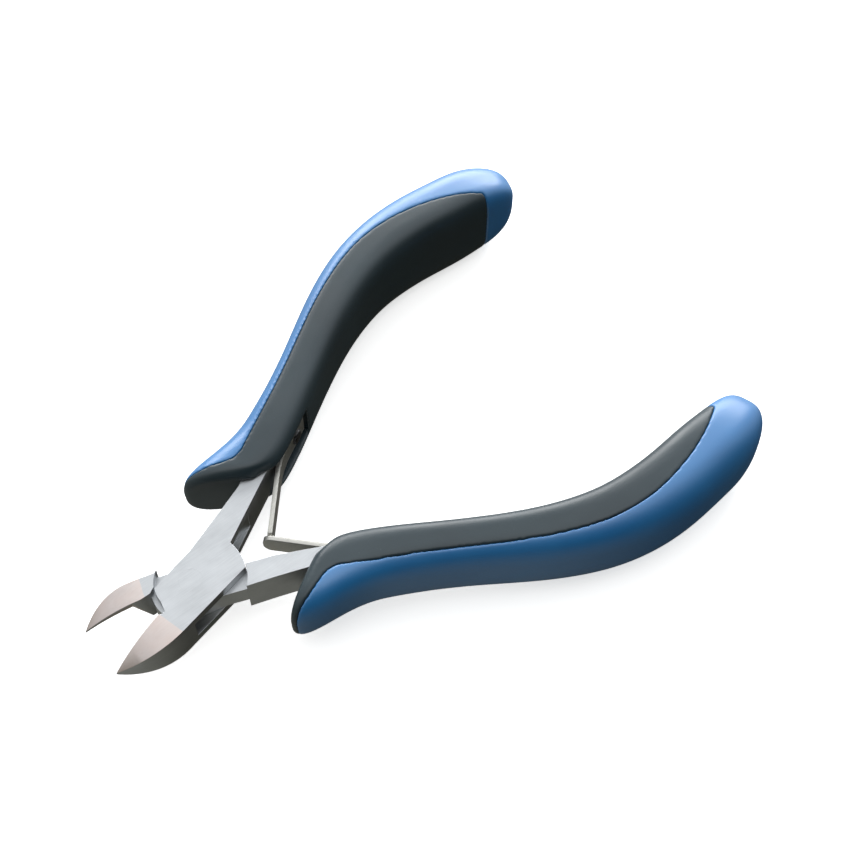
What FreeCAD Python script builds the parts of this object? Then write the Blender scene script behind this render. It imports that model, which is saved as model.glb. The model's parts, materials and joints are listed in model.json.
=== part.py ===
import FreeCAD, Part
import math
import os

import Sketcher

# A small box-joint flush cutter. Each half is modelled in its own closed frame: the pivot axis is Z through
# the origin, Z = 0 is the mid-plane, the jaws point along -X and the handles along +X. Placement then turns
# each half about the pivot to the open rest pose and lifts it so that the joint's underside is at Z = 0.

os.makedirs("parts", exist_ok=True)
doc = FreeCAD.newDocument("flush_cutter")
Vector = FreeCAD.Vector
UP = Vector(0, 0, 1)

SIZES = (
    ("opening_angle", 28.8, "angle between the halves at rest, degrees"),
    ("joint_thickness", 7.5, "thickness of head and tangs"),
    ("cheek_thickness", 1.75, "each cheek of the slotted half"),
    ("neck_gap", 0.05, "gap between neck and cheek, each side"),
    ("pivot_radius", 2.0, "pivot rivet"),
    ("pivot_clearance", 0.03, "rivet to neck, radial"),
    ("jaw_reach", 18.4, "pivot to jaw tips"),
    ("tip_height", 0.4, "half height of the tips"),
    ("taper_start", 7.5, "pivot to where the jaws start to taper in side view"),
    ("taper_radius", 19.4, "radius of that taper"),
    ("edge_gap", 0.02, "each cutting edge to the centre line"),
    ("edge_land", 0.35, "flat land under each cutting edge"),
    ("bevel_slope", 0.45, "sideways run of the bevel under the edge per unit of depth"),
    ("box_bevel_start", 9.0, "pivot to the root of the slotted half's bevel, at its top"),
    ("box_bevel_foot", 9.0, "the same at its bottom"),
    ("neck_bevel_start", 10.0, "pivot to the root of the other half's bevel, at its top"),
    ("neck_bevel_foot", 5.9, "the same at its bottom"),
    ("bevel_land_cut", 0.06, "how far the bevel rises into the land at its root"),
    ("side_cut", 1.0, "how far the cuts run past the steel"),
    ("relief_depth", 0.4, "relief at the root of the cutting edges"),
    ("relief_run", 0.4, "length of the slope into that relief"),
    ("relief_end", 6.6, "pivot to the end of the slotted half's relief"),
    ("neck_relief_end", 6.75, "pivot to the end of the other half's relief"),
    ("box_edge_root", 7.6, "pivot to root of the slotted half's edge"),
    ("neck_edge_root", 8.5, "pivot to root of the other edge"),
    ("box_jaw_width", 5.15, "centre line to outside of the slotted half's jaw"),
    ("box_jaw_start", 6.5, "pivot to where that jaw starts to curve"),
    ("box_jaw_radius", 16.3, "its outside curve in plan"),
    ("neck_jaw_width", 3.8, "centre line to outside of the other jaw"),
    ("neck_jaw_start", 10.0, "pivot to where that jaw starts to curve"),
    ("neck_jaw_radius", 11.2, "its outside curve in plan"),
    ("shoulder_radius", 6.0, "jaw shoulder of the necked half, about the pivot"),
    ("shoulder_gap", 0.12, "cheek to jaw shoulder"),
    ("cheek_from", 168, "the cheeks' jaw end runs round the pivot from here, degrees"),
    ("cheek_to", 141, "to here"),
    ("shoulder_from", 137.5, "the jaw shoulder runs round the pivot from here, degrees"),
    ("shoulder_to", 167.7, "to here"),
    ("plate_radius", 9.15, "handle end of the cheeks, about the pivot"),
    ("plate_gap", 0.15, "cheek to tang shoulder"),
    ("plate_corner", 5.65, "centre line to the cheeks' far corner"),
    ("slot_radius", 7.2, "blind ends of the slot, about the pivot"),
    ("slot_reach", 10.1, "centre line to past the slot's open sides"),
    ("slot_far", 11.9, "pivot to past the slot's open end"),
    ("slot_jaw_from", 130, "the slot's jaw end runs round the pivot from here, degrees"),
    ("slot_jaw_to", 235, "to here"),
    ("slot_tang_to", 25, "its handle end runs round the pivot from the groove to here"),
    ("neck_radius", 6.7, "neck, about the pivot"),
    ("neck_from", 172, "the neck's jaw end runs round the pivot from here, degrees"),
    ("neck_to", 222, "to here"),
    ("neck_top", 3.5, "centre line to the neck's outer side at the jaw"),
    ("neck_bottom", 1.0, "centre line to its inner side at the jaw"),
    ("neck_root", 6, "where the neck leaves the tang shoulder, degrees below the centre line"),
    ("tang_from", 5.4, "the tang shoulder runs round the pivot from here, degrees"),
    ("tang_to", 31, "to here"),
    ("tang_bend_x", 26.0, "where the inner half's tang meets its straight inner face"),
    ("tang_straight_x", 38.0, "end of the tangs' straight inner face"),
    ("tang_slope", 0.285, "slope of the tangs' inner faces"),
    ("tang_root", 9.13, "pivot to where the slotted half's tang starts"),
    ("tang_inner", 0.72, "inner face of that tang past the centre line, at its root"),
    ("groove_floor", 1.2, "floor of the slot's run-out in the tang"),
    ("groove_end", 15.5, "pivot to the end of that run-out"),
    ("leaf_thickness", 0.8, "leaf springs"),
    ("leaf_width", 3.8, "leaf springs, along the pivot axis"),
    ("leaf_root", 36.0, "pivot to the buried end of a leaf"),
    ("leaf_bend_a", 27.0, "pivot to the middle of the bend, in the slotted half's leaf"),
    ("leaf_bend_b", 24.0, "the same in the other leaf"),
    ("leaf_bend_run", 3.0, "length of the bend to each side"),
    ("leaf_tip_x_a", 14.6, "pivot to that leaf's free end, along the handle: it stands on the other leaf"),
    ("leaf_tip_y_a", -3.83, "the free end across the handle"),
    ("leaf_end_radius_a", 0.5, "rounded corners of the free end"),
    ("leaf_tip_x_b", 13.55, "pivot to the other leaf's free end, along the handle"),
    ("leaf_tip_y_b", -3.24, "the free end across the handle"),
    ("leaf_end_radius_b", 1.5, "rounded corners of the free end"),
    ("rivet_station", 33.0, "pivot to the spring rivets"),
    ("rivet_radius", 0.8, "spring rivet shank"),
    ("rivet_depth", 1.6, "shank in the tang"),
    ("rivet_head_radius", 1.4, "spring rivet head"),
    ("rivet_head", 0.5, "height of that head"),
    ("channel_width", 7.0, "channel for the leaf in the grip"),
    ("channel_start", 18.0, "pivot to the open end of the channel"),
    ("channel_end", 37.0, "pivot to the closed end of the channel"),
    ("outer_power", 2.8, "power of the grips' rounded outer side, 2 is an ellipse"),
    ("inner_power", 4.2, "power of their flatter inner side"),
    ("inner_share", 0.9, "inner half width over outer half width"),
)
# Plan points in a half's closed frame, each list in order round its outline.
PROFILES = {
    "waist": ((4.0, 3.6), (12.3, 4.5), (18.0, 5.2)),
    "neck_inner": ((4.4, 4.0), (11.0, 4.8), (11.0, 1.2)),
    "neck_outer": ((6.3, -0.8), (2.0, -3.2), (-4.4, -3.6)),
    "jaw_side": ((-5.0, -3.65),),
    "tang_waist": ((12.8, 5.15), (18.5, 5.75)),
    "tang_root_side": ((14.2, 1.45),),
    "buried": ((24.0, 7.3), (36.0, 11.1), (54.0, 16.9), (62.0, 18.5), (70.0, 18.9)),
    "buried_inner": ((70.0, 15.6), (62.0, 15.2), (54.0, 13.6)),
    # The line where the dark inner grip meets the coloured outer grip, then the core's square end.
    "seam": (
        (10.5, 16.0),
        (13.3, 13.2),
        (18.1, 10.2),
        (20.4, 8.75),
        (22.0, 8.4),
        (24.4, 8.9),
        (31.2, 10.8),
        (39.2, 13.05),
        (53.6, 17.6),
        (60.7, 19.2),
        (67.7, 19.8),
        (74.6, 18.9),
        (81.3, 16.4),
        (87.7, 12.6),
        (91.0, 9.9),
        (92.9, 8.0),
    ),
    "core_end": ((90.5, 2.6),),
}
# Grip sections from the guard to the end: centre X and Y, half width, half thickness and lean in degrees.
GRIP_SECTIONS = (
    (17.1, 7.5, 6.3, 4.9, 45),
    (17.7, 8.1, 7.2, 5.9, 44),
    (20.3, 8.0, 7.1, 6.2, 35),
    (23.6, 7.6, 6.1, 6.25, 24),
    (27.2, 7.7, 5.35, 6.3, 14.5),
    (31.5, 8.6, 5.0, 6.5, 14.5),
    (39.8, 11.05, 4.6, 6.75, 16.5),
    (47.2, 13.45, 4.6, 7.0, 17.5),
    (54.2, 15.6, 4.9, 7.3, 15.5),
    (61.0, 17.15, 5.35, 7.6, 10),
    (67.8, 17.85, 5.8, 7.95, 1.5),
    (74.4, 17.4, 6.2, 8.25, -8.5),
    (81.2, 15.85, 6.4, 8.5, -16),
    (88.1, 13.5, 6.4, 8.5, -20),
    (93.1, 11.7, 6.1, 8.2, -24),
    (97.0, 9.7, 5.2, 7.2, -29),
    (99.6, 8.15, 3.8, 5.5, -32),
    (100.9, 7.35, 2.2, 3.3, -33),
    (101.3, 7.1, 0.9, 1.3, -33),
)
SECTION_POINTS = 24
REGION_HEIGHT = 30.0
FAR_SIDE = 40.0


def fill_sheet():
    """The driving dimensions, one named cell each."""
    made = doc.addObject("Spreadsheet::Sheet", "Size")
    rows = list(SIZES)
    for number, section in enumerate(GRIP_SECTIONS, 1):
        for name, size in zip(("x", "y", "half_width", "half_thickness", "lean"), section):
            rows.append((f"grip_{name}_{number}", size, f"grip section {number}"))
    for name, points in PROFILES.items():
        for number, (x, y) in enumerate(points, 1):
            rows.append((f"{name}_x_{number}", x, f"{name} point {number}"))
            rows.append((f"{name}_y_{number}", y, f"{name} point {number}"))
    for number, (alias, size, note) in enumerate(rows, 1):
        made.set(f"A{number}", note)
        made.set(f"B{number}", str(size))
        made.setAlias(f"B{number}", alias)
    doc.recompute()
    return made


sheet = fill_sheet()


def size(alias):
    return float(sheet.get(alias))


def worth(expression):
    """An expression's value in millimetres or degrees."""
    found = sheet.evalExpression(expression)
    return float(getattr(found, "Value", found))


def flip(expression, side):
    """The Y of a point for the half whose handle is on this side."""
    return expression if side > 0 else f"-({expression})"


def profile(name, side=1):
    """A list of plan points as corners, for the half whose handle is on this side."""
    numbers = range(1, len(PROFILES[name]) + 1)
    return [(f"Size.{name}_x_{n}", flip(f"Size.{name}_y_{n}", side)) for n in numbers]


def places(name):
    """The same points as vectors."""
    numbers = range(1, len(PROFILES[name]) + 1)
    return [Vector(size(f"{name}_x_{n}"), size(f"{name}_y_{n}"), 0) for n in numbers]


def on_arc(radius, angle, level=1):
    """A corner at an angle round the pivot."""
    return f"{radius} * cos({angle})", f"{level} * {radius} * sin({angle})"


def new_body(label):
    body = doc.addObject("PartDesign::Body", label)
    body.Label = label
    return body


def attach(body, sketch, role):
    plane = [f for f in body.Origin.OriginFeatures if f.Role == role][0]
    sketch.AttachmentSupport = [(plane, "")]
    sketch.MapMode = "FlatFace"


def outline(body, name, corners, role="XY_Plane"):
    """A closed sketch. A corner is (x, y), or (x, y, radius, turn) where an arc leads on to the next corner:
    turn is 1 with its centre on the left and -1 on the right. Sizes are expressions on the sheet."""
    sketch = body.newObject("Sketcher::SketchObject", name)
    attach(body, sketch, role)
    spots = [Vector(worth(c[0]), worth(c[1]), 0) for c in corners]
    ends = []
    for number, corner in enumerate(corners):
        here = spots[number]
        after = spots[(number + 1) % len(spots)]
        if len(corner) == 2:
            edge = sketch.addGeometry(Part.LineSegment(here, after), False)
            ends.append((edge, 1, 2))
            continue
        radius, turn = worth(corner[2]), corner[3]
        chord = after - here
        left = Vector(-chord.y, chord.x, 0).normalize()
        rise = math.sqrt(radius**2 - chord.Length**2 / 4)
        centre = (here + after) / 2 + left * (rise * turn)
        first, last = (here, after) if turn > 0 else (after, here)
        angles = [math.atan2(p.y - centre.y, p.x - centre.x) for p in (first, last)]
        if angles[1] < angles[0]:
            angles[1] += 2 * math.pi
        arc = Part.ArcOfCircle(Part.Circle(centre, UP, radius), *angles)
        edge = sketch.addGeometry(arc, False)
        ends.append((edge, 1, 2) if turn > 0 else (edge, 2, 1))
    for number, (edge, start, end) in enumerate(ends):
        after = ends[(number + 1) % len(ends)]
        sketch.addConstraint(Sketcher.Constraint("Coincident", edge, end, after[0], after[1]))
        for kind, axis in (("DistanceX", 0), ("DistanceY", 1)):
            spot = spots[number][axis]
            rule = sketch.addConstraint(Sketcher.Constraint(kind, -1, 1, edge, start, spot))
            sketch.setExpression(f"Constraints[{rule}]", corners[number][axis])
        if len(corners[number]) > 2:
            radius = corners[number][2]
            rule = sketch.addConstraint(Sketcher.Constraint("Radius", edge, worth(radius)))
            sketch.setExpression(f"Constraints[{rule}]", radius)
    doc.recompute()
    return sketch


def disc(body, name, radius):
    """A circle about the pivot axis."""
    sketch = body.newObject("Sketcher::SketchObject", name)
    attach(body, sketch, "XY_Plane")
    edge = sketch.addGeometry(Part.Circle(Vector(0, 0, 0), UP, worth(radius)), False)
    sketch.addConstraint(Sketcher.Constraint("Coincident", edge, 3, -1, 1))
    rule = sketch.addConstraint(Sketcher.Constraint("Radius", edge, worth(radius)))
    sketch.setExpression(f"Constraints[{rule}]", radius)
    return sketch


def extrude(body, kind, sketch, length):
    """A pad or pocket to both sides of its sketch."""
    feature = body.newObject(f"PartDesign::{kind}", f"{sketch.Name}_{kind.lower()}")
    feature.Profile = sketch
    feature.SideType = "Symmetric"
    feature.setExpression("Length", length)
    sketch.Visibility = False
    before = 0 if body.Shape.isNull() else body.Shape.Volume
    doc.recompute()
    if kind == "Pocket" and not body.Shape.Volume < before - 0.01:
        raise RuntimeError(f"{feature.Name} removed nothing")
    return feature


def shape_jaw(body, side, jaw):
    """Taper the jaw in side view, then bevel the inside under its cutting edge. The bevel is the taper's own
    line, set down by the land and swept down and outwards, so the land keeps its height along the edge."""
    top = "Size.joint_thickness / 2"
    tip = "-Size.jaw_reach - Size.side_cut"
    beyond = "(Size.tip_height - 0.9 * Size.side_cut)"
    for number, level in enumerate((1, -1), 1):
        corners = [
            ("-Size.taper_start", f"{level} * {top}", "Size.taper_radius", level),
            (tip, f"{level} * {beyond}"),
            (tip, f"{level} * ({top} + Size.side_cut)"),
            ("-Size.taper_start", f"{level} * ({top} + Size.side_cut)"),
        ]
        sketch = outline(body, f"{body.Name}_taper_{number}", corners, "XZ_Plane")
        extrude(body, "Pocket", sketch, "4 * Size.box_jaw_width")
    under = "-(Size.joint_thickness / 2 + 3 * Size.side_cut)"
    root = f"-Size.{jaw}_bevel_start"
    corners = [
        (root, f"{top} - Size.edge_land - Size.bevel_land_cut", "Size.taper_radius", 1),
        (tip, f"{beyond} - Size.edge_land"),
        (tip, under),
        (f"-Size.{jaw}_bevel_foot", under),
    ]
    sketch = outline(body, f"{body.Name}_bevel", corners, "XZ_Plane")
    pocket = body.newObject("PartDesign::Pocket", f"{body.Name}_bevel_pocket")
    pocket.Profile = sketch
    pocket.UseCustomVector = True
    pocket.Direction = Vector(0, -side * size("bevel_slope"), -1)
    pocket.SideType = "Symmetric"
    pocket.setExpression("Length", "4 * Size.joint_thickness")
    before = body.Shape.Volume
    doc.recompute()
    if not body.Shape.Volume < before - 0.01:
        raise RuntimeError(f"{pocket.Name} removed nothing")


def inner_face(x):
    """The height of a tang's inner face above the centre line at x."""
    return f"Size.tang_slope * ({x} - Size.tang_root) - Size.tang_inner"


def buried_tang(side):
    """The tang's corners inside the grip, from its outer side round its end to its straight inner face."""
    straight = ("Size.tang_straight_x", flip(inner_face("Size.tang_straight_x"), side))
    return profile("buried", side) + profile("buried_inner", side) + [straight]


def make_box_half():
    body = new_body("box_half_body")
    cheek = "(Size.shoulder_radius - Size.shoulder_gap)"
    plate_corner_x = "sqrt(Size.plate_radius ^ 2 - Size.plate_corner ^ 2)"
    plate_end_x = "sqrt(Size.plate_radius ^ 2 - Size.tang_inner ^ 2)"
    corners = [
        ("-Size.jaw_reach", "-Size.edge_gap"),
        ("-Size.box_edge_root", "-Size.edge_gap"),
        ("-Size.box_edge_root + Size.relief_run", "-Size.relief_depth"),
        ("-Size.relief_end", "-Size.relief_depth"),
        (*on_arc(cheek, "Size.cheek_from"), cheek, -1),
        on_arc(cheek, "Size.cheek_to"),
        *profile("waist"),
        *buried_tang(1),
        (plate_end_x, "-Size.tang_inner", "Size.plate_radius", -1),
        (plate_corner_x, "-Size.plate_corner"),
        ("-Size.box_jaw_start", "-Size.box_jaw_width", "Size.box_jaw_radius", -1),
    ]
    extrude(body, "Pad", outline(body, "box_blank", corners), "Size.joint_thickness")
    jaw_from = on_arc("Size.slot_radius", "Size.slot_jaw_from")
    jaw_to = on_arc("Size.slot_radius", "Size.slot_jaw_to")
    tang_to = on_arc("Size.slot_radius", "Size.slot_tang_to")
    groove_x = "sqrt(Size.slot_radius ^ 2 - Size.groove_floor ^ 2)"
    slot = [
        (jaw_from[0], "Size.slot_reach"),
        (*jaw_from, "Size.slot_radius", 1),
        jaw_to,
        (jaw_to[0], "-Size.slot_reach"),
        ("Size.slot_far", "-Size.slot_reach"),
        ("Size.groove_end", "0"),
        ("Size.groove_end", "Size.groove_floor"),
        (groove_x, "Size.groove_floor", "Size.slot_radius", 1),
        tang_to,
        (tang_to[0], "Size.slot_reach"),
    ]
    slot_height = "Size.joint_thickness - 2 * Size.cheek_thickness"
    extrude(body, "Pocket", outline(body, "box_slot", slot), slot_height)
    shape_jaw(body, 1, "box")
    extrude(body, "Pocket", disc(body, "box_bore", "Size.pivot_radius"), "2 * Size.joint_thickness")
    return body


def make_inner_half():
    body = new_body("inner_half_body")
    neck_height = "Size.joint_thickness - 2 * Size.cheek_thickness - 2 * Size.neck_gap"
    shoulder = "Size.shoulder_radius"
    tang_shoulder = "(Size.plate_radius + Size.plate_gap)"
    neck = [
        ("-Size.neck_edge_root", "Size.neck_bottom"),
        (*on_arc("Size.neck_radius", "Size.neck_from"), "Size.neck_radius", 1),
        on_arc("Size.neck_radius", "Size.neck_to"),
        *profile("neck_inner", -1),
        on_arc(tang_shoulder, "Size.neck_root", -1),
        *profile("neck_outer", -1),
        ("-Size.neck_edge_root", "Size.neck_top"),
    ]
    extrude(body, "Pad", outline(body, "neck_blank", neck), neck_height)
    jaw = [
        ("-Size.jaw_reach", "Size.edge_gap", "Size.neck_jaw_radius", -1),
        ("-Size.neck_jaw_start", "Size.neck_jaw_width"),
        *profile("jaw_side", -1),
        (*on_arc(shoulder, "Size.shoulder_from"), shoulder, 1),
        on_arc(shoulder, "Size.shoulder_to"),
        ("-Size.neck_relief_end", "Size.relief_depth"),
        ("-Size.neck_edge_root", "Size.edge_gap"),
    ]
    extrude(body, "Pad", outline(body, "jaw_blank", jaw), "Size.joint_thickness")
    tang = [
        (*on_arc(tang_shoulder, "Size.tang_from", -1), tang_shoulder, -1),
        on_arc(tang_shoulder, "Size.tang_to", -1),
        *profile("tang_waist", -1),
        *buried_tang(-1),
        ("Size.tang_bend_x", flip(inner_face("Size.tang_bend_x"), -1)),
        *profile("tang_root_side", -1),
    ]
    extrude(body, "Pad", outline(body, "tang_blank", tang), "Size.joint_thickness")
    shape_jaw(body, -1, "neck")
    bore = disc(body, "neck_bore", "Size.pivot_radius + Size.pivot_clearance")
    extrude(body, "Pocket", bore, "2 * Size.joint_thickness")
    return body


def make_leaf(side, letter):
    """A flat spring: its root lies on the tang's inner face, then it bends away towards the centre line."""
    label = f"leaf_spring_{letter}"
    body = new_body(f"{label}_body")
    bend = f"Size.leaf_bend_{letter}"
    tip_x = f"Size.leaf_tip_x_{letter}"
    tip_y = f"Size.leaf_tip_y_{letter}"
    thick = "Size.leaf_thickness"
    run = "Size.leaf_bend_run"
    bend_y = f"({inner_face(bend)})"
    root_lean = "atan(Size.tang_slope)"
    tip_lean = f"atan(({bend_y} - {tip_y}) / ({bend} - {tip_x}))"
    radius = f"({run} / tan(({tip_lean} - {root_lean}) / 2))"
    face = [
        ("Size.leaf_root", inner_face("Size.leaf_root"), root_lean),
        (f"{bend} + {run} * cos({root_lean})", f"{bend_y} + {run} * sin({root_lean})", root_lean),
        (f"{bend} - {run} * cos({tip_lean})", f"{bend_y} - {run} * sin({tip_lean})", tip_lean),
        (tip_x, tip_y, tip_lean),
    ]
    back = [(f"{x} + {thick} * sin({lean})", f"{y} - {thick} * cos({lean})") for x, y, lean in face]
    corners = [(x, flip(y, side)) for x, y, lean in face]
    corners += [(x, flip(y, side)) for x, y in reversed(back)]
    corners[1] += (radius, side)
    corners[5] += (f"{radius} - {thick}", -side)
    pad = extrude(body, "Pad", outline(body, f"{label}_side_view", corners), "Size.leaf_width")
    tip = Vector(worth(tip_x), side * worth(tip_y), 0)
    ends = []
    for number, edge in enumerate(pad.Shape.Edges, 1):
        near = (edge.CenterOfMass - tip).Length < size("leaf_width")
        if near and abs(edge.Length - size("leaf_thickness")) < 1e-3:
            ends.append(f"Edge{number}")
    rounding = body.newObject("PartDesign::Fillet", f"{label}_rounded_end")
    rounding.Base = (pad, ends)
    rounding.setExpression("Radius", f"Size.leaf_end_radius_{letter}")
    doc.recompute()
    return body


def rivet_frame(side):
    """Where a spring rivet's axis meets the tang's inner face, with its own Z running into the tang."""
    lean = math.atan(size("tang_slope"))
    station = size("rivet_station")
    place = Vector(station, side * worth(inner_face(str(station))), 0)
    into = Vector(-math.sin(lean), side * math.cos(lean), 0)
    return FreeCAD.Placement(place, FreeCAD.Rotation(UP, into))


def cylinder(label, radius, height, frame, start):
    """A cylinder on the frame's Z, from start along that axis."""
    made = doc.addObject("Part::Cylinder", label)
    made.setExpression("Radius", radius)
    made.setExpression("Height", height)
    made.Placement = frame.multiply(FreeCAD.Placement(Vector(0, 0, worth(start)), FreeCAD.Rotation()))
    return made


def boolean(kind, label, base, tool):
    made = doc.addObject(f"Part::{kind}", label)
    made.Base = base
    made.Tool = tool
    made.Label = label
    doc.recompute()
    return made


def make_spring_rivet(side, label):
    frame = rivet_frame(side)
    head_start = "-Size.leaf_thickness - Size.rivet_head"
    head = cylinder(f"{label}_head", "Size.rivet_head_radius", "Size.rivet_head", frame, head_start)
    shank_length = "Size.leaf_thickness + Size.rivet_depth"
    shank = cylinder(f"{label}_shank", "Size.rivet_radius", shank_length, frame, "-Size.leaf_thickness")
    return boolean("Fuse", label, head, shank)


def drill(label, body, side, depth):
    """Cut the spring rivet's hole in a half or a leaf."""
    frame = rivet_frame(side)
    start = "-2 * Size.leaf_thickness"
    drilled = f"2 * Size.leaf_thickness + {depth}"
    tool = cylinder(f"{label}_drill", "Size.rivet_radius", drilled, frame, start)
    return boolean("Cut", label, body, tool)


def section_wire(number):
    """A rounded section across the grip: |across / half width| ^ n + |height / half thickness| ^ n = 1,
    with a higher power n and a smaller half width on its inner side."""
    middle = Vector(size(f"grip_x_{number}"), size(f"grip_y_{number}"), 0)
    half_width = size(f"grip_half_width_{number}")
    half_thickness = size(f"grip_half_thickness_{number}")
    lean = math.radians(size(f"grip_lean_{number}"))
    across = Vector(-math.sin(lean), math.cos(lean), 0)
    points = []
    for step in range(SECTION_POINTS):
        angle = 2 * math.pi * step / SECTION_POINTS
        wide, high = math.cos(angle), math.sin(angle)
        inner = wide < 0
        power = 2 / size("inner_power" if inner else "outer_power")
        reach = half_width * (size("inner_share") if inner else 1)
        wide = math.copysign(abs(wide) ** power, wide) * reach
        high = math.copysign(abs(high) ** power, high) * half_thickness
        points.append(middle + across * wide + UP * high)
    curve = Part.BSplineCurve()
    curve.interpolate(points, PeriodicFlag=True)
    return Part.Wire(curve.toShape())


def upright(points, height):
    """A solid prism over corners in plan, centred on the mid-plane."""
    ring = Part.makePolygon(points + points[:1])
    prism = Part.Face(ring).extrude(UP * height)
    prism.translate(UP * (-height / 2))
    return prism


def seam_region():
    """Everything outside the seam: a tall prism whose near side is the seam line and the core's end."""
    line = Part.BSplineCurve()
    seam = places("seam")
    line.interpolate(seam)
    leaves = places("core_end")[0]
    far_x = seam[-1].x + FAR_SIDE
    far = [leaves, Vector(far_x, leaves.y, 0), Vector(far_x, FAR_SIDE, 0), Vector(seam[0].x, FAR_SIDE, 0)]
    ring = Part.Wire([line.toShape(), *Part.makePolygon([seam[-1], *far, seam[0]]).Edges])
    prism = Part.Face(ring).extrude(UP * REGION_HEIGHT)
    prism.translate(UP * (-REGION_HEIGHT / 2))
    return prism


def leaf_channel():
    """The slot in the grip's inner side that the leaf lies in, from inside the tang to the open air."""
    start, end = size("channel_start"), size("channel_end")
    level = [worth(inner_face(str(x))) + size("leaf_thickness") for x in (start, end)]
    depth = size("joint_thickness")
    corners = [
        Vector(start, level[0], 0),
        Vector(end, level[1], 0),
        Vector(end, level[1] - depth, 0),
        Vector(start, level[0] - depth, 0),
    ]
    return upright(corners, size("channel_width"))


def feature(label, shape):
    made = doc.addObject("Part::Feature", label)
    made.Label = label
    made.Shape = shape
    return made


def make_grip(side, tang, letter):
    """The moulded grip over a tang, parted along its seam into a dark core and a coloured cover."""
    blank = Part.makeLoft([section_wire(n) for n in range(1, len(GRIP_SECTIONS) + 1)], True, False)
    region = seam_region()
    channel = leaf_channel()
    core = blank.cut(region).cut(channel)
    cover = blank.common(region)
    if side < 0:
        core = core.mirror(Vector(0, 0, 0), Vector(0, 1, 0))
        cover = cover.mirror(Vector(0, 0, 0), Vector(0, 1, 0))
    core = core.cut(tang)
    cover = cover.cut(tang)
    return [feature(f"grip_core_{letter}", core), feature(f"grip_cover_{letter}", cover)]


def make_pivot_rivet():
    made = doc.addObject("Part::Cylinder", "pivot_rivet")
    made.Label = "pivot_rivet"
    made.setExpression("Radius", "Size.pivot_radius")
    made.setExpression("Height", "Size.joint_thickness")
    doc.recompute()
    return made


def check(piece):
    states = set(piece.State)
    if states & {"Invalid", "Error"} or piece.Shape.isNull() or not piece.Shape.isValid():
        raise RuntimeError(f"{piece.Label} is not sound: {piece.State}")
    if len(piece.Shape.Solids) != 1:
        raise RuntimeError(f"{piece.Label} has {len(piece.Shape.Solids)} solids")


def make_side(side, letter, body, name):
    """A steel half with its leaf spring, spring rivet and grips, turned to the rest pose."""
    half = drill(name, body, side, "Size.rivet_depth")
    leaf_body = make_leaf(side, letter)
    leaf = drill(f"leaf_spring_{letter}", leaf_body, side, "Size.leaf_thickness")
    rivet = make_spring_rivet(side, f"spring_rivet_{letter}")
    pieces = [half, leaf, rivet, *make_grip(side, body.Shape, letter)]
    turn = FreeCAD.Rotation(UP, side * size("opening_angle") / 2)
    for piece in pieces:
        piece.Placement = FreeCAD.Placement(UP * (size("joint_thickness") / 2), turn)
    return pieces


def main():
    pieces = make_side(1, "a", make_box_half(), "box_half")
    pieces += make_side(-1, "b", make_inner_half(), "inner_half")
    pieces.append(make_pivot_rivet())
    doc.recompute()
    for thing in doc.Objects:
        if set(thing.State) & {"Invalid", "Error"}:
            raise RuntimeError(f"{thing.Label} failed: {thing.State}")
    for piece in pieces:
        check(piece)
    for piece in pieces:
        piece.Shape.exportStep(f"parts/{piece.Label}.step")
        box = piece.Shape.BoundBox
        sides = f"{box.XLength:.2f} x {box.YLength:.2f} x {box.ZLength:.2f}"
        print(f"{piece.Label}: {piece.Shape.Volume:.1f} mm3, {sides}")


main()
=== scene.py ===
import bpy
import bmesh
import json
import math
from mathutils import Matrix, Vector

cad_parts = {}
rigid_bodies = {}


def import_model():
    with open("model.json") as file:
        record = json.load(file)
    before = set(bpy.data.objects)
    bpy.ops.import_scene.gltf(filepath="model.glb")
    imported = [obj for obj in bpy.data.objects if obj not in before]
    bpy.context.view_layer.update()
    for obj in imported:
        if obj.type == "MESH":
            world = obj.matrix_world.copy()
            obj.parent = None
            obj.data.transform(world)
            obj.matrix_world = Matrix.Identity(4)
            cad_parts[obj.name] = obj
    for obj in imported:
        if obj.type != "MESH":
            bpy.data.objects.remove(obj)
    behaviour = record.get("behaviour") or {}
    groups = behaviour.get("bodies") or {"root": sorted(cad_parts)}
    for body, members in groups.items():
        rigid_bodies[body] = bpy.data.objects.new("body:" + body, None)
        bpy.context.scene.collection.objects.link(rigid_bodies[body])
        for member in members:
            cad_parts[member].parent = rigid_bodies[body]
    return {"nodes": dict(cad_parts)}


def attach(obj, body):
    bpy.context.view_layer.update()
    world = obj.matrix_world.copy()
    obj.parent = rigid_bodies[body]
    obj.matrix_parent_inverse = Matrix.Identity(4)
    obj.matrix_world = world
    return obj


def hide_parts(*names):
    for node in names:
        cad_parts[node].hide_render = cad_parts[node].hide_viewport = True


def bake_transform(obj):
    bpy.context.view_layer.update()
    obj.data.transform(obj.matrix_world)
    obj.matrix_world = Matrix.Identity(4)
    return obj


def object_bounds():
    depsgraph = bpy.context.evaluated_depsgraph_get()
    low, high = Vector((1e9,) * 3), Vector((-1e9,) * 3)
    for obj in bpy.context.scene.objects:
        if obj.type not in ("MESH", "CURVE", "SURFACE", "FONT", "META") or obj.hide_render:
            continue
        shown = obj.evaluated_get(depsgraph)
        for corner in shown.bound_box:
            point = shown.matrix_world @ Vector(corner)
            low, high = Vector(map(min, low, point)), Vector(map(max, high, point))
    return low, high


for left_over in list(bpy.data.objects):
    bpy.data.objects.remove(left_over)
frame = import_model()
CAD_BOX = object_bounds()

MM = 0.001
Z = Vector((0, 0, 1))
scene = bpy.context.scene

# Each handle: its letter, own body, the other body, and the side of the centre line that it lies on.
SIDES = (("a", "box_side", "inner_side", 1), ("b", "inner_side", "box_side", -1))
HALF_OPENING = math.radians(28.8) / 2

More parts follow.
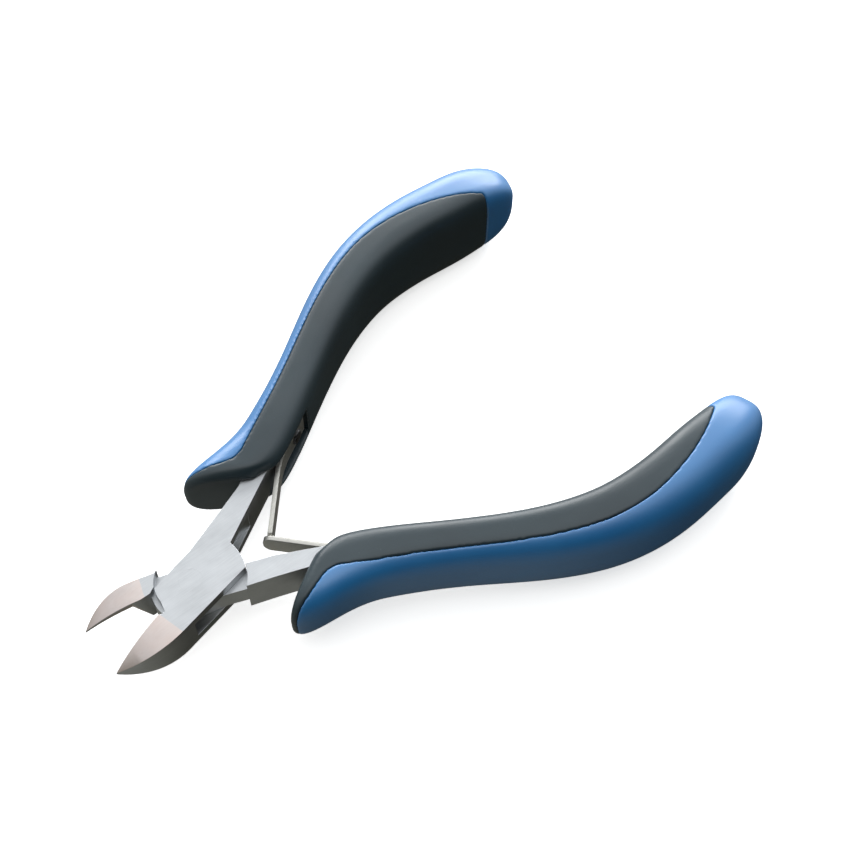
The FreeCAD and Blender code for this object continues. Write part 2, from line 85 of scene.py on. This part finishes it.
# Sizes in mm, in the closed tool's own plan: x along the centre line from the pivot, y across it.
JOINT_THICKNESS = 7.5
TANG_SLOPE = 0.285
TANG_ROOT = 9.13
TANG_INNER = 0.72
BLADE_START = -7.6
BORE_RIM = 2.1
LEAF_ROOT = 36.0
LEAF_WIDTH = 3.8
LEAF_THICKNESS = 0.8
LEAF_BEND_RUN = 3.0
LEAF_BEND = {"a": 27.0, "b": 24.0}
LEAF_TIP = {"a": Vector((14.6, -3.83)), "b": Vector((13.55, -3.24))}
LEAF_CORNER = {"a": 0.5, "b": 1.5}
RIVET_STATION = 33.0
BROKEN_EDGE = 0.10

# Turned profiles as (radius, height) in mm.
SPRING_RIVET = [(0.45, -1.3), (0.95, -1.26), (1.28, -1.16), (1.4, -1.0), (1.4, -0.8), (0.8, -0.8), (0.8, 1.6)]
PIVOT_RIVET = [(1.0, 0.0), (1.988, 0.0), (1.995, 0.007), (1.995, 7.493), (1.988, 7.5), (1.0, 7.5)]

MID_PLANE = JOINT_THICKNESS / 2 * MM


def turned(side):
    """The turn from a half's closed plan to the rest pose."""
    return Matrix.Rotation(side * HALF_OPENING, 4, "Z")


def inner_face(x):
    """Distance of a tang's inner face from the centre line, in mm."""
    return TANG_SLOPE * (x - TANG_ROOT) - TANG_INNER


# ---------- camera, floor, light ----------

FORWARD = Vector((0.3348, 0.4160, -0.8456)).normalized()
RIGHT = Vector((0.7790, -0.6270, 0.0)).normalized()
EYE = Vector((-0.0372, -0.1071, 0.22375))
BACK = Vector((FORWARD.x, FORWARD.y, 0)).normalized()
FLOOR_HALF = 8.0


def make_camera():
    lens = bpy.data.cameras.new("camera")
    lens.lens = 62.49
    lens.sensor_width = 36.0
    lens.clip_start = 0.005
    lens.clip_end = 20.0
    camera = bpy.data.objects.new("camera", lens)
    scene.collection.objects.link(camera)
    up = RIGHT.cross(FORWARD)
    turn = Matrix((RIGHT, up, -FORWARD)).transposed().to_4x4()
    camera.matrix_world = Matrix.Translation(EYE) @ turn
    scene.camera = camera


class Nodes:
    """A few short words for building a node tree."""

    def __init__(self, tree):
        self.tree = tree
        self.tree.nodes.clear()

    def add(self, kind, **settings):
        node = self.tree.nodes.new(kind)
        for name, value in settings.items():
            setattr(node, name, value)
        return node

    def link(self, out, into):
        self.tree.links.new(out, into)

    def feed(self, socket, value):
        if isinstance(value, bpy.types.NodeSocket):
            self.link(value, socket)
        else:
            socket.default_value = value

    def math(self, operation, a, b, clamp=False):
        node = self.add("ShaderNodeMath", operation=operation, use_clamp=clamp)
        self.feed(node.inputs[0], a)
        self.feed(node.inputs[1], b)
        return node.outputs[0]

    def dot(self, a, direction):
        node = self.add("ShaderNodeVectorMath", operation="DOT_PRODUCT")
        self.feed(node.inputs[0], a)
        node.inputs[1].default_value = direction
        return node.outputs["Value"]

    def remap(self, value, low, high, to_low=0.0, to_high=1.0, kind="LINEAR"):
        node = self.add("ShaderNodeMapRange", interpolation_type=kind)
        self.feed(node.inputs["Value"], value)
        for name, number in (("From Min", low), ("From Max", high), ("To Min", to_low), ("To Max", to_high)):
            node.inputs[name].default_value = number
        return node.outputs[0]

    def mix(self, share, a, b):
        node = self.add("ShaderNodeMix", data_type="RGBA")
        self.feed(node.inputs[0], share)
        self.feed(node.inputs[6], a)
        self.feed(node.inputs[7], b)
        return node.outputs[2]

    def noise(self, where, scale, detail=3.0):
        node = self.add("ShaderNodeTexNoise")
        self.feed(node.inputs["Vector"], where)
        node.inputs["Scale"].default_value = scale
        node.inputs["Detail"].default_value = detail
        node.inputs["Roughness"].default_value = 0.55
        return node.outputs["Fac"]

    def stretched(self, where, along, turn=0.0):
        """Coordinates that make noise longer along x, by a scale below 1, after a turn about z."""
        node = self.add("ShaderNodeMapping")
        self.feed(node.inputs["Vector"], where)
        node.inputs["Rotation"].default_value = (0, 0, turn)
        node.inputs["Scale"].default_value = (along, 1.0, 1.0)
        return node.outputs[0]

    def bump(self, height, strength, distance, normal=None):
        node = self.add("ShaderNodeBump")
        node.inputs["Strength"].default_value = strength
        node.inputs["Distance"].default_value = distance
        self.feed(node.inputs["Height"], height)
        if normal:
            self.link(normal, node.inputs["Normal"])
        return node.outputs[0]


def new_material(name, **sockets):
    """A Principled material with its even values set, its nodes, its shader and its object coordinates."""
    material = bpy.data.materials.new(name)
    material.use_nodes = True
    nodes = Nodes(material.node_tree)
    shader = nodes.add("ShaderNodeBsdfPrincipled")
    out = nodes.add("ShaderNodeOutputMaterial")
    nodes.link(shader.outputs[0], out.inputs[0])
    for socket, value in sockets.items():
        shader.inputs[socket.replace("_", " ")].default_value = value
    where = nodes.add("ShaderNodeTexCoord").outputs["Object"]
    return material, nodes, shader, where


def linear(byte):
    """An sRGB byte as linear light."""
    if byte > 10:
        return ((byte / 255 + 0.055) / 1.055) ** 2.4
    return byte / 255 / 12.92


def rgb(red, green, blue):
    return linear(red), linear(green), linear(blue), 1.0


def make_world():
    """A light tent by direction: bright behind and above, with weaker patches at the left and right.
    The light from below is stronger towards the front left."""
    world = bpy.data.worlds.new("studio")
    scene.world = world
    world.use_nodes = True
    nodes = Nodes(world.node_tree)
    out = nodes.add("ShaderNodeOutputWorld")
    sky = nodes.add("ShaderNodeBackground")
    nodes.link(sky.outputs[0], out.inputs[0])
    way = nodes.add("ShaderNodeTexCoord").outputs["Generated"]

    def patch(toward, start, full, least, most):
        return nodes.remap(nodes.dot(way, toward), start, full, least, most, "SMOOTHSTEP")

    tent = patch(BACK * 0.80 + Z * 0.60, start=-0.12, full=0.62, least=0.015, most=0.90)
    left = patch(Z * 0.43 - RIGHT * 0.76 - BACK * 0.49, start=0.50, full=0.95, least=0.0, most=0.40)
    right = patch(RIGHT * 0.85 + Z * 0.40 + BACK * 0.30, start=0.35, full=0.95, least=0.0, most=0.12)
    below = patch(-Z, start=-0.20, full=0.60, least=0.0, most=1.0)
    front_left = patch(-BACK * 0.70 - RIGHT * 0.70, start=-0.40, full=0.50, least=0.04, most=0.36)
    above = nodes.math("ADD", tent, nodes.math("ADD", left, right))
    light = nodes.math("ADD", above, nodes.math("MULTIPLY", below, front_left))
    nodes.link(nodes.mix(light, rgb(225, 222, 200), rgb(248, 251, 255)), sky.inputs["Color"])
    nodes.link(light, sky.inputs["Strength"])


def make_floor():
    """A pale floor that glows a little and lights nothing."""
    material, nodes, shader, where = new_material("pale_floor", Roughness=0.9, Specular_IOR_Level=0.1)
    tone = nodes.noise(where, 9.0, 2.0)
    nodes.link(nodes.mix(tone, rgb(247, 247, 247), rgb(250, 250, 250)), shader.inputs["Base Color"])
    shader.inputs["Emission Color"].default_value = (1, 1, 1, 1)
    shader.inputs["Emission Strength"].default_value = 0.62
    mesh = bpy.data.meshes.new("floor")
    signs = ((-1, -1), (1, -1), (1, 1), (-1, 1))
    corners = [(x * FLOOR_HALF, y * FLOOR_HALF, CAD_BOX[0].z) for x, y in signs]
    mesh.from_pydata(corners, [], [(0, 1, 2, 3)])
    mesh.materials.append(material)
    floor = bpy.data.objects.new("floor", mesh)
    scene.collection.objects.link(floor)
    floor.visible_diffuse = False
    floor.visible_glossy = False


def make_softbox(name, target, offset, width, height, power):
    light = bpy.data.lights.new(name, "AREA")
    light.shape = "RECTANGLE"
    light.size = width
    light.size_y = height
    light.energy = power
    lamp = bpy.data.objects.new(name, light)
    scene.collection.objects.link(lamp)
    lamp.location = target + offset
    lamp.rotation_euler = (target - lamp.location).to_track_quat("-Z", "Y").to_euler()


# ---------- materials ----------


def steel(name, tone, roughness, lean, line_scale=5200.0, straw=None):
    """Ground steel. The grinding lines run along lean in plan. A blade has clouds of straw tint on it."""
    material, nodes, shader, where = new_material(name, Metallic=1.0)
    lines = nodes.noise(nodes.stretched(where, 0.045, lean), line_scale, 2.0)
    broad = nodes.noise(nodes.stretched(where, 0.25, lean), 420.0)
    cloud = nodes.noise(where, 160.0, 4.0)
    dark = tuple(channel * 0.86 for channel in tone[:3]) + (1.0,)
    colour = nodes.mix(nodes.remap(cloud, 0.3, 0.7), dark, tone)
    colour = nodes.mix(nodes.remap(lines, 0.35, 0.75, 0.0, 0.15), colour, rgb(238, 240, 240))
    if straw:
        share = nodes.remap(nodes.noise(where, 95.0), 0.35, 0.65, 0.0, 0.45)
        colour = nodes.mix(share, colour, straw)
    nodes.link(colour, shader.inputs["Base Color"])
    broad_rough = nodes.remap(broad, 0.3, 0.7, -0.05, 0.05)
    line_rough = nodes.remap(lines, 0.3, 0.7, -0.04, 0.06)
    rough = nodes.math("ADD", broad_rough, line_rough)
    nodes.link(nodes.math("ADD", rough, roughness, True), shader.inputs["Roughness"])
    fine = nodes.bump(lines, 0.22, 0.006 * MM)
    nodes.link(nodes.bump(broad, 0.12, 0.01 * MM, fine), shader.inputs["Normal"])
    return material


def plastic(name, tone, deep, roughness, grain, dust, gloss, coat):
    """Moulded grip plastic: fine moulded grain, faint rubbed patches and a little dust."""
    material, nodes, shader, where = new_material(
        name, IOR=1.5, Specular_IOR_Level=gloss, Coat_Weight=coat, Coat_Roughness=0.45,
    )
    cloud = nodes.noise(where, 60.0, 4.0)
    colour = nodes.mix(nodes.remap(cloud, 0.3, 0.7), deep, tone)
    speck = nodes.remap(nodes.noise(where, 2600.0, 1.0), 0.70, 0.85, 0.0, dust)
    colour = nodes.mix(speck, colour, rgb(150, 160, 170))
    nodes.link(colour, shader.inputs["Base Color"])
    rubbed = nodes.remap(nodes.noise(nodes.stretched(where, 0.5), 130.0, 5.0), 0.35, 0.7, -0.05, 0.07)
    nodes.link(nodes.math("ADD", rubbed, roughness, True), shader.inputs["Roughness"])
    pores = nodes.noise(where, 3400.0, 2.0)
    swell = nodes.noise(where, 210.0, 2.0)
    fine = nodes.bump(pores, grain, 0.02 * MM)
    nodes.link(nodes.bump(swell, 0.10, 0.05 * MM, fine), shader.inputs["Normal"])
    return material


PLATE = steel("plate_steel", rgb(190, 193, 196), 0.38, -HALF_OPENING)
BLADE = steel("blade_steel", rgb(208, 198, 194), 0.42, math.radians(68), straw=rgb(206, 184, 174))
SPRING = steel("leaf_steel", rgb(184, 183, 177), 0.46, 0.0, line_scale=3600.0)
RIVET = steel("black_oxide_steel", rgb(62, 62, 64), 0.42, 0.0, line_scale=3600.0)
DARK = plastic(
    "dark_grip", rgb(41, 57, 64), rgb(34, 48, 55), 0.38, grain=0.20, dust=0.05, gloss=0.5, coat=0.1,
)
BLUE = plastic(
    "blue_grip", rgb(32, 120, 184), rgb(27, 110, 174), 0.40, grain=0.16, dust=0.06, gloss=1.0, coat=0.3,
)


# ---------- meshes ----------


def new_piece(name, mesh, body, node):
    """An object that stands in for a CAD node. Without a body here, it is attached later or left unattached.
    """
    piece = bpy.data.objects.new(name, mesh)
    scene.collection.objects.link(piece)
    if body:
        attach(piece, body)
    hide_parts(node)
    return piece


def welded(node):
    """A copy of a CAD node's mesh as a bmesh, with its split corners joined."""
    shape = bmesh.new()
    shape.from_mesh(frame["nodes"][node].data)
    bmesh.ops.remove_doubles(shape, verts=shape.verts, dist=0.0001 * MM)
    return shape


def to_mesh(shape, name, *materials):
    mesh = bpy.data.meshes.new(name)
    shape.to_mesh(mesh)
    shape.free()
    for material in materials:
        mesh.materials.append(material)
    return mesh


def apply_modifiers(piece):
    bpy.context.view_layer.update()
    graph = bpy.context.evaluated_depsgraph_get()
    mesh = bpy.data.meshes.new_from_object(piece.evaluated_get(graph), depsgraph=graph)
    piece.modifiers.clear()
    piece.data = mesh


def smooth_by_angle(mesh, degrees):
    """Smooth shading, with edges sharper than the given angle kept crisp."""
    shape = bmesh.new()
    shape.from_mesh(mesh)
    limit = math.radians(degrees)
    for face in shape.faces:
        face.smooth = True
    for edge in shape.edges:
        edge.smooth = not (edge.is_manifold and edge.calc_face_angle(0) > limit)
    shape.to_mesh(mesh)
    shape.free()


def moulded(node, body, material):
    """A grip half with its moulded, softened edges: where the two colours meet the rounding leaves a groove.
    The voxels lie askew to the piece, so that their steps don't line up with its long edges."""
    mesh = to_mesh(welded(node), node + "_moulded", material)
    askew = Matrix.Rotation(math.radians(31), 4, "Z") @ Matrix.Rotation(math.radians(23), 4, "X")
    mesh.transform(askew)
    piece = new_piece(node + "_moulded", mesh, None, node)
    remesh = piece.modifiers.new("voxels", "REMESH")
    remesh.mode = "VOXEL"
    remesh.voxel_size = 0.24 * MM
    remesh.use_smooth_shade = True
    soften = piece.modifiers.new("soften", "SMOOTH")
    soften.factor = 0.5
    soften.iterations = 8
    thin = piece.modifiers.new("thin", "DECIMATE")
    thin.ratio = 0.35
    apply_modifiers(piece)
    piece.data.transform(askew.inverted())
    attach(piece, body)


def is_broken(edge):
    """Whether an edge of a steel half gets a bevel. The sharp ones do, except at the flush pivot bore."""
    sharp = edge.is_manifold and edge.calc_face_angle(0) > math.radians(28)
    return sharp and max(corner.co.xy.length for corner in edge.verts) > BORE_RIM * MM


def forged(node, body, side):
    """A steel half with its sharp edges broken by a small bevel. The jaws' ground faces differ in finish."""
    shape = welded(node)
    bmesh.ops.dissolve_limit(shape, angle_limit=math.radians(0.6), verts=shape.verts, edges=shape.edges)
    sharp = [edge for edge in shape.edges if is_broken(edge)]
    bmesh.ops.bevel(
        shape, geom=sharp, offset=BROKEN_EDGE * MM, offset_type="OFFSET", segments=2, profile=0.5,
        affect="EDGES", clamp_overlap=True,
    )
    closing = turned(-side)
    for face in shape.faces:
        is_jaw = (closing @ face.calc_center_median()).x < BLADE_START * MM
        face.material_index = int(is_jaw and abs(face.normal.z) > 0.02)
    mesh = to_mesh(shape, node + "_ground", PLATE, BLADE)
    smooth_by_angle(mesh, 20)
    new_piece(node + "_ground", mesh, body, node)


def lathe(node, profile, place, axis, body, material):
    """A turned piece: profile is (radius, height) along the axis from place."""
    name = node + "_turned"
    turn = axis.normalized().to_track_quat("Z", "Y").to_matrix()
    steps = 64
    points, faces = [], []
    for radius, height in profile:
        for step in range(steps):
            angle = 2 * math.pi * step / steps
            local = Vector((math.cos(angle) * radius, math.sin(angle) * radius, height)) * MM
            points.append(place + turn @ local)
    for ring in range(len(profile) - 1):
        for step in range(steps):
            a, b = ring * steps + step, ring * steps + (step + 1) % steps
            faces.append((a, b, b + steps, a + steps))
    faces.append(tuple(reversed(range(steps))))
    faces.append(tuple(range((len(profile) - 1) * steps, len(profile) * steps)))
    mesh = bpy.data.meshes.new(name)
    mesh.from_pydata(points, [], faces)
    mesh.materials.append(material)
    smooth_by_angle(mesh, 40)
    new_piece(name, mesh, body, node)


def leaf_line(letter):
    """A leaf's side view in plan, from its root to its tip, as points on its tang side with their directions,
    and the point where it starts to flex."""
    bend, tip = LEAF_BEND[letter], LEAF_TIP[letter]
    middle = Vector((bend, inner_face(bend)))
    root = Vector((LEAF_ROOT, inner_face(LEAF_ROOT)))
    root_way = Vector((1.0, TANG_SLOPE)).normalized()
    tip_way = (middle - tip).normalized()
    half_turn = root_way.angle(tip_way) / 2
    radius = LEAF_BEND_RUN / math.tan(half_turn)
    start = middle + root_way * LEAF_BEND_RUN
    arc_centre = start - Vector((-root_way.y, root_way.x)) * radius
    root_steps, bend_steps, tip_steps = 10, 12, 40
    line = [(root.lerp(start, step / root_steps), root_way) for step in range(root_steps)]
    for step in range(bend_steps + 1):
        angle = 2 * half_turn * step / bend_steps
        across = math.cos(angle), math.sin(angle)
        way = Vector((
            root_way.x * across[0] - root_way.y * across[1],
            root_way.x * across[1] + root_way.y * across[0],
        ))
        line.append((arc_centre + Vector((-way.y, way.x)) * radius, way))
    bend_end = line[-1][0]
    for step in range(1, tip_steps + 1):
        line.append((bend_end.lerp(tip, 1 - (1 - step / tip_steps) ** 2), tip_way))
    return line, middle + tip_way


def spring(letter, side):
    """A leaf spring bent from strip: flat on its tang, bent, then straight to the free end. Leaf a's end is
    nearly square and rests on leaf b's round end."""
    node = "leaf_spring_" + letter
    to_rest = Matrix.Translation((0, 0, MID_PLANE)) @ turned(side)
    line, hinge = leaf_line(letter)
    tip, corner = LEAF_TIP[letter], LEAF_CORNER[letter]
    columns = 5
    points, faces = [], []
    for spot, way in line:
        inset = max(0.0, 1 - (spot - tip).length / corner)
        half_width = LEAF_WIDTH / 2 - corner * (1 - math.sqrt(max(1 - inset * inset, 0.0)))
        place = spot + Vector((way.y, -way.x)) * (LEAF_THICKNESS / 2)
        for column in range(columns):
            height = half_width * (2 * column / (columns - 1) - 1)
            points.append(Vector((place.x, side * place.y, height)) * MM)
    for ring in range(len(line) - 1):
        for column in range(columns - 1):
            a = ring * columns + column
            faces.append((a, a + 1, a + columns + 1, a + columns))
    mesh = bpy.data.meshes.new(node + "_strip")
    mesh.from_pydata(points, [], faces)
    mesh.transform(to_rest)
    mesh.materials.append(SPRING)
    piece = new_piece(node + "_strip", mesh, None, node)
    solid = piece.modifiers.new("thickness", "SOLIDIFY")
    solid.thickness = LEAF_THICKNESS * MM
    solid.offset = 0
    edge = piece.modifiers.new("edge", "BEVEL")
    edge.width = BROKEN_EDGE * MM
    edge.segments = 2
    edge.limit_method = "ANGLE"
    edge.angle_limit = math.radians(50)
    apply_modifiers(piece)
    smooth_by_angle(piece.data, 40)
    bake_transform(piece)


def spring_rivet(letter, own, side):
    """The rivet that holds a leaf to its tang, with its head on the leaf."""
    closed = Vector((RIVET_STATION * MM, side * inner_face(RIVET_STATION) * MM, MID_PLANE))
    lean = Matrix.Rotation(side * math.atan(TANG_SLOPE), 4, "Z")
    into_tang = turned(side) @ lean @ Vector((0, side, 0))
    node = "spring_rivet_" + letter
    lathe(node, SPRING_RIVET, turned(side) @ closed, into_tang, own, RIVET)


make_camera()
make_world()
make_floor()
centre = (CAD_BOX[0] + CAD_BOX[1]) / 2
make_softbox("back_strip", centre, BACK * 0.55 + Z * 0.22, width=0.80, height=0.32, power=5.2)
make_softbox("overhead", centre, Z * 0.60 + BACK * 0.02, width=0.45, height=0.45, power=0.5)

for letter, own, other, side in SIDES:
    moulded("grip_core_" + letter, own, DARK)
    moulded("grip_cover_" + letter, own, BLUE)
forged("box_half", "box_side", 1)
forged("inner_half", "inner_side", -1)
for letter, own, other, side in SIDES:
    spring(letter, side)
    spring_rivet(letter, own, side)
lathe("pivot_rivet", PIVOT_RIVET, Vector((0, 0, 0)), Z, "box_side", PLATE)

scene.view_settings.view_transform = "Standard"
